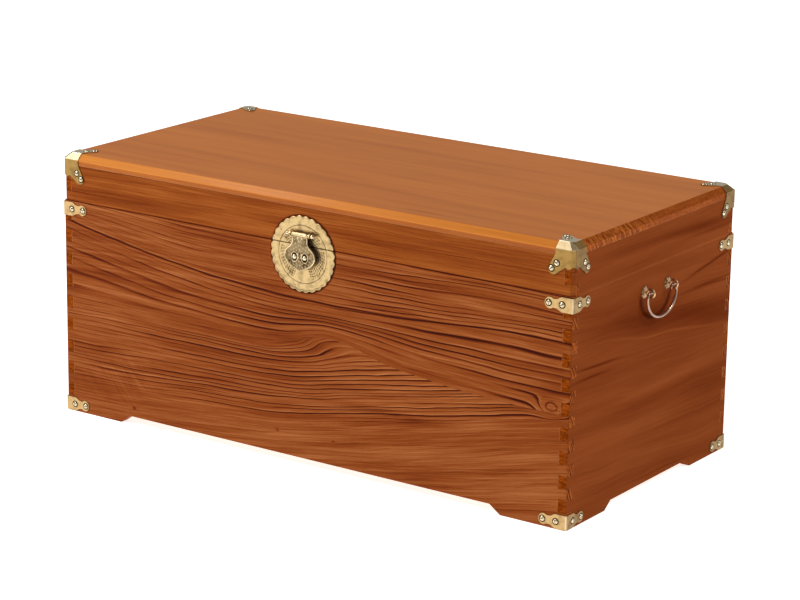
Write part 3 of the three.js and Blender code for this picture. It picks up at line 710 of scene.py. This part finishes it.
for half, body, keepUpper in (("upper", "lid", True), ("lower", "case", False)):
    shape = lockPlate()
    cut = (chest["seam"] + (lock["slit"] if keepUpper else -lock["slit"])) / 1000
    everything = shape.verts[:] + shape.edges[:] + shape.faces[:]
    result = bmesh.ops.bisect_plane(
        shape, geom=everything, plane_co=(0, 0, cut), plane_no=(0, 0, 1), dist=1e-6,
        clear_inner=keepUpper, clear_outer=not keepUpper)
    edges = [item for item in result["geom_cut"] if isinstance(item, bmesh.types.BMEdge)]
    bmesh.ops.holes_fill(shape, edges=edges)
    name = "lock_plate_" + half
    piece("engraved_" + name, shape, plateBrass, body, replaced=[name])
print("lock plate ready")


hasp = {
    "knuckle": 3.5, "half": 16, "neck": 15.5, "neckDrop": 9, "waist": 14.5, "wide": 30.5,
    "wideDrop": 36, "flank": 23.5, "flankDrop": 49, "tipDrop": 60.5,
    "hole": (5.2, 7.2), "holeAt": (10, -37), "holeSteps": 36,
    "thickness": 1.8, "rim": 0.75, "grid": 0.95, "pin": 389, "bore": 1.9, "topDrop": 2,
    "rimInsets": (0.35, 0.9, 1.6), "grooves": (-9, 0, 9), "grooveDepth": 0.25,
}


def bezier(points, steps):
    made = []
    for k in range(1, steps + 1):
        t, level = k / steps, [Vector(p) for p in points]
        while len(level) > 1:
            level = [a.lerp(b, t) for a, b in zip(level, level[1:])]
        made.append(level[0])
    return made


def haspLoops():
    neck, wide, flank = ((hasp[key], -hasp[key + "Drop"]) for key in ("neck", "wide", "flank"))
    half = [Vector((neck[0], -hasp["topDrop"])), Vector((neck[0], -5.5)), Vector(neck)]
    half += bezier([neck, (hasp["waist"], neck[1] - 12), (wide[0], wide[1] + 15), wide], 22)
    half += bezier([wide, (wide[0], wide[1] - 6), flank], 10)
    half += bezier([flank, (10, -hasp["tipDrop"] + 3), (0, -hasp["tipDrop"])], 16)
    outline = half + [Vector((-p.x, p.y)) for p in half[-2::-1]]
    (x, z), (wideHole, tallHole), holes = hasp["holeAt"], hasp["hole"], []
    angles = [2 * math.pi * k / hasp["holeSteps"] for k in range(hasp["holeSteps"])]
    for side in (-1, 1):
        centre = Vector((side * x, z))
        holes.append([
            centre + Vector((wideHole * math.cos(a), tallHole * math.sin(a))) for a in angles])
    return outline, holes


def isInside(point, loop):
    odd = False
    for a, b in zip(loop, loop[1:] + loop[:1]):
        if (a.y > point.y) != (b.y > point.y):
            odd ^= point.x < (b.x - a.x) * (point.y - a.y) / (b.y - a.y) + a.x
    return odd


def isMetal(point, outline, holes):
    return isInside(point, outline) and not any(isInside(point, hole) for hole in holes)


def gapTo(point, loop):
    best = 1e9
    for a, b in zip(loop, loop[1:] + loop[:1]):
        along = b - a
        share = max(0, min(1, (point - a).dot(along) / max(along.length_squared, 1e-9)))
        best = min(best, (point - a - along * share).length)
    return best


def haspHeight(point, rimGap, holeGap):  # raised rims, and scroll work between them
    level = 0.0
    if rimGap < 2.6:
        level += hasp["rim"] * math.exp(-((rimGap - 1.3) / 0.85) ** 2)
        level -= 0.5 * max(0, 1 - rimGap / 0.5) ** 2
    if holeGap < 2:
        level += 0.4 * math.exp(-((holeGap - 0.8) / 0.6) ** 2)
        level -= 0.4 * max(0, 1 - holeGap / 0.4) ** 2
    if rimGap > 2.2 and holeGap > 1.4:
        x, z = abs(point.x), point.y
        stem = math.exp(-((x - 3.4 * math.sin((z + 12) * 0.23)) / 1.1) ** 2)
        leaf = math.sin(x * 0.85 + z * 0.35) * math.sin(z * 0.6 - x * 0.25)
        grit = noise.noise(Vector((x * 1.1, z * 1.1, 5.0)))
        carving = 0.22 * max(0, leaf) + 0.2 * stem + 0.14 * grit - 0.12
        level += min(1, (rimGap - 2.2) / 0.8) * carving
    return level


def haspPlate(shape, place):
    outline, holes = haspLoops()
    points, edges = [], []
    for loop in [outline] + holes:
        start = len(points)
        points += loop
        edges += [(start + k, start + (k + 1) % len(loop)) for k in range(len(loop))]
    for loop in [outline] + holes:  # a second loop close to each edge keeps the rim clean
        for k, point in enumerate(loop):
            before, after = loop[k - 1], loop[(k + 1) % len(loop)]
            normal = Vector((after.y - before.y, before.x - after.x)).normalized()
            for inset in hasp["rimInsets"]:
                for sign in (-1, 1):
                    moved = point + normal * inset * sign
                    if isMetal(moved, outline, holes) and gapTo(moved, loop) > inset * 0.97:
                        points.append(moved)
    step, row = hasp["grid"], 0
    z = -hasp["tipDrop"]
    while z < -hasp["topDrop"]:
        x = -hasp["wide"] + (row % 2) * step / 2
        while x < hasp["wide"]:
            point = Vector((x, z))
            if isMetal(point, outline, holes) and gapTo(point, outline) > 2.0:
                if all(gapTo(point, hole) > 1.9 for hole in holes):
                    points.append(point)
            x += step
        z, row = z + step * 0.87, row + 1
    flat, _, faces, *_ = delaunay_2d_cdt(points, edges, [], 1, 1e-4)
    kept = []
    for face in faces:
        if isMetal(sum((flat[i] for i in face), Vector((0, 0))) / len(face), outline, holes):
            kept.append(face)
    half = hasp["thickness"] / 2
    top, bottom = {}, {}
    for i in {i for face in kept for i in face}:
        rimGap, holeGap = gapTo(flat[i], outline), min(gapTo(flat[i], hole) for hole in holes)
        if flat[i].y > -4 and abs(flat[i].x) < hasp["neck"] - 2.6:  # no rim under the knuckle
            rimGap = max(rimGap, abs(flat[i].y + hasp["topDrop"]) + 2.6)
        level = half + haspHeight(flat[i], rimGap, holeGap)
        top[i] = shape.verts.new(place @ Vector((flat[i].x, flat[i].y, level)))
        bottom[i] = shape.verts.new(place @ Vector((flat[i].x, flat[i].y, -half)))
    sides = {}
    for face in kept:
        shape.faces.new([top[i] for i in face])
        shape.faces.new([bottom[i] for i in reversed(face)])
        sides.update(dict.fromkeys(zip(face, list(face[1:]) + [face[0]])))
    for a, b in sides:
        if (b, a) not in sides:
            shape.faces.new([top[b], top[a], bottom[a], bottom[b]])


shape = bmesh.new()
haspPlate(shape, facing("front", 0, pinY, hasp["pin"]))
radius, half = hasp["knuckle"], hasp["half"]
tube = [(hasp["bore"], -half), (radius - 0.6, -half), (radius, -half + 0.6)]
for at in hasp["grooves"]:
    tube += [(radius, at - 1), (radius - hasp["grooveDepth"], at), (radius, at + 1)]
tube += [(radius, half - 0.6), (radius - 0.6, half), (hasp["bore"], half)]
turned(shape, tube, facing("right", 0, pinY, hasp["pin"]), 36)
piece("engraved_hasp", shape, haspBrass, "hasp", replaced=["hasp"])

shape = bmesh.new()
knob = [(0, -27.4), (1.9, -26.9), (3.0, -25.6), (3.4, -24), (3.0, -22.4), (2.2, -21.5),
        (1.7, -21.2)]
turned(shape, knob + [(1.6, -20.6), (1.6, 20.6)] + [(r, -h) for r, h in knob[::-1]],
       facing("right", 0, pinY, hasp["pin"]), 28)
piece("hasp_rod", shape, trimBrass, "lid", replaced=["hasp_pin"])

# Posts: their domed heads stand through the hasp's oval holes; inside they are bent over.
postHead = [
    (2.9, 0.0), (2.9, 6.0), (3.7, 6.5), (4.1, 7.4), (4.0, 8.4), (3.5, 9.5), (2.6, 10.3),
    (1.4, 10.8), (0, 10.95),
]
for name, x in (("lock_post_left", -post["x"]), ("lock_post_right", post["x"])):
    shape = bmesh.new()
    place = facing("front", x, plateFace, post["z"])
    turned(shape, postHead, place, 28)
    turned(shape, [(post["shank"], -18), (post["shank"], 0.2)], place, 16)
    bar(shape, post["legWidth"], post["legLength"], post["legThickness"],
        facing("back", x, -innerY + 0.3, post["z"]))
    piece("domed_" + name, shape, trimBrass, "case", replaced=[name])
print("hasp ready")


bail = {
    "height": 331, "standoff": 12, "eyeAt": 36, "arm": 45, "drop": 44, "shoulder": 10, "wire": 1.9,
    "thin": 0.92, "swell": 0.36,  # the wire's share of its size at the eyes, and what the bow adds
    "ring": 6.2, "ringWire": 1.95, "shank": 1.7, "shankEnd": -16.6,
    "rosette": 8.3, "petals": 8, "petal": 2.2, "perPetal": 10,
}


def bailCurve(name, sign):
    half = [(28, -7), (28.3, -4.6), (29.2, -2.2), (31, -0.6), (35, 0), (38, 0),
            (41.5, -0.8), (44.4, -4.5)]
    bow = bail["drop"] - bail["shoulder"]
    for degrees in range(0, -90, -9):
        angle = math.radians(degrees)
        half.append((bail["arm"] * math.cos(angle), bow * math.sin(angle) - bail["shoulder"]))
    points = half + [(0, -bail["drop"])] + [(-a, b) for a, b in half[::-1]]
    curve = bpy.data.curves.new(name, "CURVE")
    curve.dimensions, curve.bevel_depth, curve.bevel_resolution = "3D", bail["wire"] / 1000, 6
    curve.use_fill_caps, curve.resolution_u = True, 6
    spline = curve.splines.new("BEZIER")
    spline.bezier_points.add(len(points) - 1)
    for knot, (y, z) in zip(spline.bezier_points, points):
        knot.co = ((sign * (chest["halfLength"] + bail["standoff"])) / 1000,
                   (y + chest["shift"]) / 1000, (bail["height"] + z) / 1000)
        knot.handle_left_type = knot.handle_right_type = "AUTO"
        knot.radius = bail["thin"] + bail["swell"] * min(1, max(0, -z - 6) / 30)
    for knot, radius in ((0, 0.35), (1, 0.8), (-1, 0.35), (-2, 0.8)):
        spline.bezier_points[knot].radius = radius
    return curve


def rosette(shape, place):
    per, rows = bail["perPetal"], []
    around = bail["petals"] * per
    for share in (0.0, 0.12, 0.25, 0.4, 0.55, 0.7, 0.8, 0.88, 0.94, 0.98, 1.0):
        row = []
        for i in range(around):
            lobe = abs(math.sin(math.pi * (i % per) / per))
            radius = max(0.3, share) * (bail["rosette"] + bail["petal"] * lobe) if share else 0.3
            dome = math.sqrt(max(0, 1 - share ** 4))
            groove = (1 - lobe ** 0.6) * 0.5 * min(1, share * 2)
            level = 0.15 + 1.45 * dome * (1 - groove) + 0.5 * math.exp(-(share / 0.2) ** 2)
            angle = 2 * math.pi * i / around
            row.append((radius * math.cos(angle), radius * math.sin(angle), level))
        rows.append(row)
    rows.append([(a, b, 0) for a, b, _ in rows[-1]])
    loops(shape, rows, place)


for name, sign in (("left", -1), ("right", 1)):
    dress("round_" + name + "_bail", bailCurve(name + "Wire", sign), bailMetal, name + "_bail",
          [name + "_bail"])
    wall = sign * (chest["halfLength"] + chest["gap"])
    inner = {"left": "right", "right": "left"}[name]
    for place, y in (("front", -bail["eyeAt"]), ("back", bail["eyeAt"])):
        shape = bmesh.new()
        rosette(shape, facing(name, wall, y, bail["height"]))
        piece(f"domed_{name}_rosette_{place}", shape, eyeBrass, "case",
              replaced=[f"{name}_rosette_{place}"])
        shape = bmesh.new()
        ringOf(shape, bail["ring"], bail["ringWire"],
               facing("back", sign * (chest["halfLength"] + bail["standoff"]), y, bail["height"]))
        reach, thick = bail["standoff"] - bail["ring"] + 0.2, bail["shank"]
        stem = [(thick, bail["shankEnd"]), (thick, reach - 3), (2.1, reach - 1.2), (2.0, reach)]
        turned(shape, stem, facing(name, sign * chest["halfLength"], y, bail["height"]), 20)
        bar(shape, post["legLength"], post["legWidth"], post["legThickness"],
            facing(inner, sign * (innerX - 0.3), y, bail["height"]))
        piece(f"round_{name}_eye_{place}", shape, eyeBrass, "case",
              replaced=[f"{name}_bail_eye_{place}"])
print("handles ready")


screws = {
    "radius": 4.2, "height": 1.9, "edge": 0.14, "slotWidth": 1.2, "slotDepth": 0.9,
    # the collar is a thin disc under the head, painted dark as the head's shadow ring
    "stem": 1.5, "shadowCollar": 5.9,
    # places from the corner, and heights from the seam, the floor or the top
    "strap": (17.7, 41.5), "upperStrap": 14.3, "lowerStrap": 12.7,
    "guard": ((29.5, 31.5), (38.5, 40.5)), "flap": (27.5, 37),
    "hinge": (-22, 0, 22), "hingeAt": 300, "hingeUp": 20,
}


def screwShade(x, y, z):  # painted shade round the head, over the dark collar, and in its slot
    y = y + chest["shift"]
    share = (x * x + y * y) / screws["radius"] ** 2
    dome = (1 - share).above(0) ** 0.5 * (screws["height"] - screws["edge"]) + screws["edge"]
    return ((dome - z).rise(0.12, 0.3) + share.rise(0.96, 1.06)).below(1)


screwBrass = brassSurface("screwBrass", brassLook["screw"], screwShade)


def screwMesh():
    shape, millimetres = bmesh.new(), Matrix.Scale(0.001, 4)
    profile = [(screws["stem"], -3.0), (screws["stem"], 0.0), (screws["shadowCollar"], 0.02),
               (screws["shadowCollar"] - 0.1, 0.12)]
    dome = screws["height"] - screws["edge"]
    for degrees in range(0, 90, 11):
        angle = math.radians(degrees)
        height = screws["edge"] + dome * math.sin(angle)
        profile.append((screws["radius"] * math.cos(angle), height))
    turned(shape, profile + [(0, screws["height"])], millimetres, 36)
    head = meshOf("screw", shape)
    shape = bmesh.new()
    floor = Matrix.Translation((0, 0, screws["height"] - screws["slotDepth"]))
    bar(shape, 2 * screws["radius"] + 2, screws["slotWidth"], 3, millimetres @ floor, 0.08)
    slot = meshOf("slot", shape)
    holder, cutter = (bpy.data.objects.new(mesh.name, mesh) for mesh in (head, slot))
    for item in (holder, cutter):
        bpy.context.scene.collection.objects.link(item)
    cut = holder.modifiers.new("slot", "BOOLEAN")
    cut.operation, cut.object, cut.solver = "DIFFERENCE", cutter, "EXACT"
    bpy.context.view_layer.update()
    evaluated = holder.evaluated_get(bpy.context.evaluated_depsgraph_get())
    done = bpy.data.meshes.new_from_object(evaluated)
    for item in (holder, cutter):
        bpy.data.objects.remove(item)
    done.materials.clear()
    done.materials.append(screwBrass)
    done.shade_smooth()
    done.set_sharp_from_angle(angle=math.radians(35))
    return done


screwShape = screwMesh()
out = chest["gap"] + chest["sheet"]
halfX, halfY = chest["halfLength"], chest["halfDepth"]


def screw(name, body, side, x, y, z):
    item = bpy.data.objects.new(name, screwShape)
    bpy.context.scene.collection.objects.link(item)
    item.matrix_world = facing(side, x, y, z, random.uniform(0, math.pi)) @ Matrix.Scale(1000, 4)
    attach(item, body)


for faceY, signY in (("front", -1), ("back", 1)):
    for faceX, signX in (("left", -1), ("right", 1)):
        corner = faceY + "_" + faceX
        for level, height in (
                ("upper", chest["seam"] - screws["upperStrap"]), ("lower", screws["lowerStrap"])):
            for k, a in enumerate(screws["strap"]):
                screw(f"screw_{level}_{corner}_long_{k}", "case", faceY,
                      signX * (halfX - a), signY * (halfY + out), height)
                screw(f"screw_{level}_{corner}_end_{k}", "case", faceX,
                      signX * (halfX + out), signY * (halfY - a), height)
        for k, (a, b) in enumerate(screws["guard"]):
            screw(f"screw_guard_{corner}_long_{k}", "lid", faceY,
                  signX * (halfX - a), signY * (halfY + out), chest["height"] - b)
            screw(f"screw_guard_{corner}_end_{k}", "lid", faceX,
                  signX * (halfX + out), signY * (halfY - a), chest["height"] - b)
        for k, a in enumerate(screws["flap"]):
            screw(f"screw_guard_{corner}_top_{k}", "lid", "up",
                  signX * (halfX - a), signY * (halfY - a), chest["height"] + out)
for side, sign in (("left", -1), ("right", 1)):
    for k, a in enumerate(screws["hinge"]):
        for body, up in (("lid", 1), ("case", -1)):
            screw(f"screw_hinge_{side}_{body}_{k}", body, "back",
                  sign * screws["hingeAt"] + a, halfY + out, chest["seam"] + up * screws["hingeUp"])
print("screws ready")


# Pieces carried over from the frame get eased edges and a material.
edges = {"wood": 0.45, "brass": 0.55, "angle": 28}
remade = (
    "lock_plate", "lock_post", "hasp", "left_bail", "right_bail", "left_rosette", "right_rosette")
shown = {name for name in nodes if not name.startswith(remade)}
for name in sorted(shown | {"hasp_eye_left", "hasp_eye_right"}):
    item = nodes[name]
    item.data.materials.clear()
    item.data.materials.append(materials.get(name, guardBrass if "guard" in name else sheetBrass))
    ease = item.modifiers.new("edges", "BEVEL")
    ease.width = edges["wood" if name in materials else "brass"] / 1000
    ease.segments, ease.limit_method, ease.angle_limit = 2, "ANGLE", math.radians(edges["angle"])
    for face in item.data.polygons:
        face.use_smooth = True
    item.modifiers.new("normals", "WEIGHTED_NORMAL").keep_sharp = True
print("frame pieces dressed")


studio = {
    "floor": 14.0, "floorDrop": 0.0002, "world": 0.36, "floorGlow": 0.78,
    "floorTones": ((0.8, 0.8, 0.8), (0.77, 0.77, 0.77)),
    # name: (place, size, power, what it points at)
    "lights": {
        "key": ((-3.1, -2.9, 3.9), 2.4, 235, (0, 0, 0.2)),
        "fill": ((3.4, 1.4, 3.4), 0.8, 62, (0, 0, 0.2)),
    },
}
recipe = Recipe("paleFloor")
x, y, z = recipe.place()
soft = recipe.cloud(x / 900, y / 900, 0, 2)
floorColour = recipe.between(*studio["floorTones"], soft)
recipe.finish(floorColour, 0.6 + soft * 0.1, soft * 0.1, {
    "Emission Color": (1, 1, 1, 1), "Emission Strength": studio["floorGlow"],
})
shape = bmesh.new()
rows = []
for share in (1, 0.5, 0.1):
    half = studio["floor"] * share
    rows.append([(-half, -half, 0), (half, -half, 0), (half, half, 0), (-half, half, 0)])
loops(shape, rows, Matrix.Identity(4), False, True)
floor = bpy.data.objects.new("floor", meshOf("floor", shape))
floor.data.materials.append(recipe.material)
bpy.context.scene.collection.objects.link(floor)
floor.location.z = -studio["floorDrop"]

scene = bpy.context.scene
scene.view_settings.view_transform = "Standard"
world = bpy.data.worlds.new("studio")
world.use_nodes = True
world.node_tree.nodes["Background"].inputs["Color"].default_value = (1, 1, 1, 1)
world.node_tree.nodes["Background"].inputs["Strength"].default_value = studio["world"]
scene.world = world
for name, (place, size, power, target) in studio["lights"].items():
    lamp = bpy.data.lights.new(name, "AREA")
    lamp.size, lamp.energy = size, power
    item = bpy.data.objects.new(name, lamp)
    item.location = place
    item.rotation_euler = (Vector(target) - Vector(place)).to_track_quat("-Z", "Y").to_euler()
    scene.collection.objects.link(item)

view = {
    "azimuth": 34.52393, "elevation": 15.69308, "roll": 0.87779, "distance": 4.70588,
    "target": (0.015113, 0.00281, 0.226784), "lens": 127.205,
}
azimuth, elevation, roll = (math.radians(view[key]) for key in ("azimuth", "elevation", "roll"))
flat = math.cos(elevation)
backward = Vector((math.sin(azimuth) * flat, -math.cos(azimuth) * flat, math.sin(elevation)))
sideways = Vector((math.cos(azimuth), math.sin(azimuth), 0))
upward = backward.cross(sideways)
rightward = sideways * math.cos(roll) + upward * math.sin(roll)
upright = upward * math.cos(roll) - sideways * math.sin(roll)
camera = bpy.data.cameras.new("camera")
camera.lens, camera.sensor_width, camera.sensor_fit = view["lens"], 36, "HORIZONTAL"
item = bpy.data.objects.new("camera", camera)
stand = Matrix.Translation(Vector(view["target"]) + backward * view["distance"])
item.matrix_world = stand @ Matrix((rightward, upright, backward)).transposed().to_4x4()
scene.collection.objects.link(item)
scene.camera = item
print("studio ready")

bpy.context.view_layer.update()
